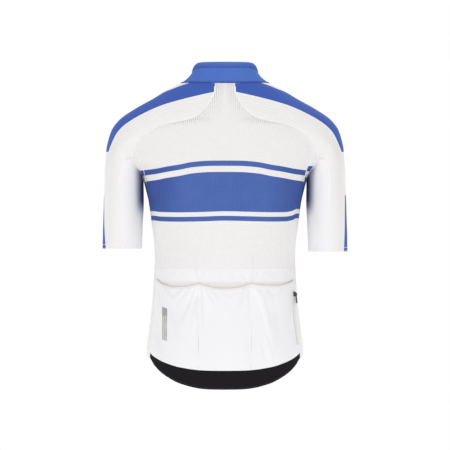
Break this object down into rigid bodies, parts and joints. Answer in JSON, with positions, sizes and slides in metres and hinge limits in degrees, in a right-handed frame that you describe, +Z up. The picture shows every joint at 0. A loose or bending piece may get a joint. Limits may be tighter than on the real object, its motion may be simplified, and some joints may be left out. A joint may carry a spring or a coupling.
{
  "type": "short-sleeved cycling jersey",
  "caption": "Fitted short-sleeved cycling jersey with a stand collar, full front zip, rear patch pockets, a zipped side pocket and a dropped elastic hem band, filled out as worn.",
  "frame": {"origin": "centre of the neck opening, at the seam at the base of the collar's back", "axes": "+X towards the wearer's right, +Y towards the wearer's front, +Z up the body"},
  "size_m": [0.5388, 0.2378, 0.709],
  "materials": {
    "ribbed_knit": "matt off-white dimpled knit with printed blue stripes",
    "smooth_knit": "matt white fine smooth knit",
    "gripper_band": "matt black ribbed elastic band",
    "sleeve_knit": "fine ribbed knit printed blue and white",
    "reflective_film": "satin grey reflective film",
    "collar_knit": "matt blue knit",
    "zip_tape": "woven white tape",
    "zip_teeth": "white moulded nylon coil",
    "zip_metal": "satin enamelled metal",
    "pull_tab": "dark grey moulded tab"
  },
  "bodies": {
    "jersey": {"back_panel": "ribbed_knit", "lower_back_panel": "smooth_knit", "hem_gripper": "gripper_band", "front_left": "ribbed_knit", "front_right": "ribbed_knit", "side_panel_left": "ribbed_knit", "side_panel_right": "ribbed_knit", "sleeve_left": "sleeve_knit", "sleeve_right": "sleeve_knit", "under_sleeve_left": "smooth_knit", "under_sleeve_right": "smooth_knit", "pocket_left": "smooth_knit", "pocket_centre": "smooth_knit", "pocket_right": "smooth_knit", "reflective_strip": "reflective_film", "collar": "collar_knit", "zip_tape_left": "zip_tape", "zip_tape_right": "zip_tape", "zip_chain": "zip_teeth", "zip_slider": "zip_metal", "pocket_zip": "zip_tape", "pocket_zip_slider": "zip_metal"},
    "zip_tab": {"zip_pull": "zip_metal"},
    "pocket_tab": {"pocket_zip_pull": "pull_tab"}
  },
  "joints": [
    {"name": "zip_pull_hinge", "type": "hinge", "parent": "jersey", "child": "zip_tab", "pos_m": [0, 0.06074, -0.00971], "axis": [1, 0, 0], "range_deg": [0, 150]},
    {"name": "pocket_pull_hinge", "type": "hinge", "parent": "jersey", "child": "pocket_tab", "pos_m": [0.15486, -0.04078, -0.45841], "axis": [-0.4752, -0.8752, 0.0909], "range_deg": [0, 150]}
  ]
}
